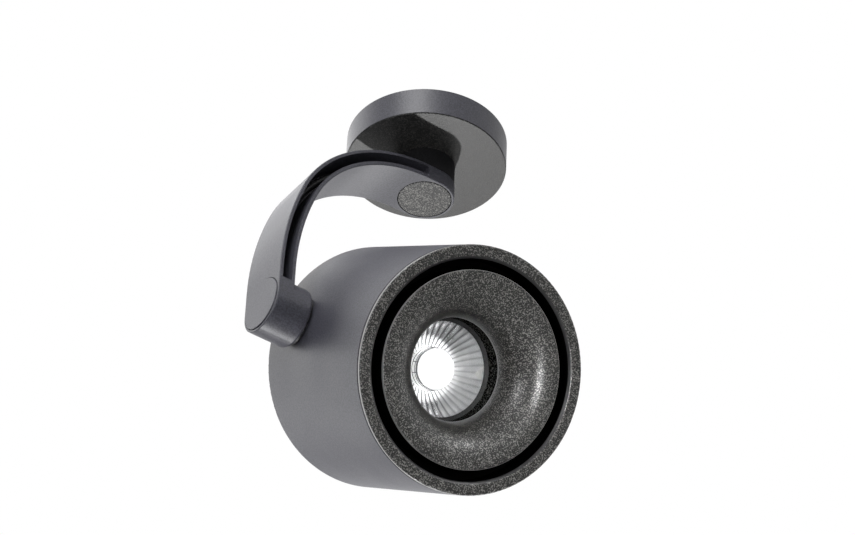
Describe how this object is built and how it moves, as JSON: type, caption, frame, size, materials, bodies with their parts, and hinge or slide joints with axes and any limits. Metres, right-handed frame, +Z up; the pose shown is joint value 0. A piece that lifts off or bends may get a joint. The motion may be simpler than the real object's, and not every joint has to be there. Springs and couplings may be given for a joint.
{
  "type": "adjustable surface spotlight",
  "caption": "Round ceiling rose with a curved arm that pans and carries a tilting cylindrical spotlight head with a deep anti-glare baffle and fluted reflector",
  "frame": {"origin": "centre of the face of the rose and its plate that meets the ceiling", "axes": "+Z up into the ceiling; the arm leaves along -X; at rest the head looks along -Y and 33.25 degrees downwards"},
  "size_m": [0.1418, 0.1495, 0.2465],
  "materials": {
    "charcoal_coat": "fine satin powder coat, dark charcoal grey",
    "charcoal_steel": "fine satin powder coat, dark charcoal grey",
    "sand_black": "sand-textured matt black powder coat",
    "drum_black": "matt black",
    "black_plastic": "moulded matt black",
    "white_plastic": "moulded white",
    "nylon": "natural nylon",
    "zinc_steel": "bright zinc plated",
    "bright_reflector": "fluted mirror-bright aluminium",
    "clear_glass": "clear flat glass",
    "sink_aluminium": "bare extruded aluminium",
    "board_ceramic": "white ceramic board",
    "light_field": "yellow phosphor field",
    "opal_guide": "opal white plastic, lit from behind",
    "pad_grey": "soft grey pad",
    "cable_black": "black cable sheath",
    "wire_white": "white silicone wire",
    "grommet_rubber": "black rubber",
    "earth_brass": "plain brass"
  },
  "bodies": {
    "base": {"mounting_plate": "zinc_steel", "entry_grommet": "grommet_rubber", "terminal_block": "white_plastic", "terminal_screws": "zinc_steel", "earth_terminal": "earth_brass", "rose_leads": "cable_black", "ceiling_rose": "charcoal_steel", "rose_grub_screws": "zinc_steel", "pan_drum": "drum_black", "drum_screws": "zinc_steel", "pan_friction_washer": "nylon"},
    "arm": {"arm": "charcoal_coat", "upper_hub_cap": "sand_black", "lower_hub_cap": "charcoal_coat", "arm_cable": "cable_black", "pan_spring_washer": "zinc_steel", "pan_locknut": "zinc_steel", "pan_stop_pin": "zinc_steel", "tilt_tab_washer": "zinc_steel", "tilt_spring_washer": "zinc_steel", "tilt_locknut": "zinc_steel"},
    "head": {"saddle_washer": "black_plastic", "saddle_block": "sink_aluminium", "tilt_stop_pins": "zinc_steel", "tilt_friction_washer": "nylon", "head_housing": "charcoal_coat", "front_bezel": "sand_black", "baffle": "sand_black", "baffle_neck": "sand_black", "reflector_holder": "black_plastic", "holder_screws": "zinc_steel", "cover_glass": "clear_glass", "reflector": "bright_reflector", "light_guide": "opal_guide", "led_frame": "white_plastic", "led_frame_screws": "zinc_steel", "led_substrate": "board_ceramic", "led_emitter": "light_field", "thermal_pad": "pad_grey", "heat_sink": "sink_aluminium", "heat_sink_screws": "zinc_steel", "driver": "white_plastic", "driver_screws": "zinc_steel", "head_lead": "cable_black", "led_leads": "wire_white", "rear_cover": "charcoal_coat", "rear_cover_screws": "zinc_steel"}
  },
  "joints": [
    {"name": "pan", "type": "hinge", "parent": "base", "child": "arm", "pos_m": [0, 0, 0], "axis": [0, 0, 1], "range_deg": [-165, 165]},
    {"name": "tilt", "type": "hinge", "parent": "arm", "child": "head", "pos_m": [0, 0, -0.1547], "axis": [1, 0, 0], "range_deg": [-33.25, 56.75]}
  ]
}
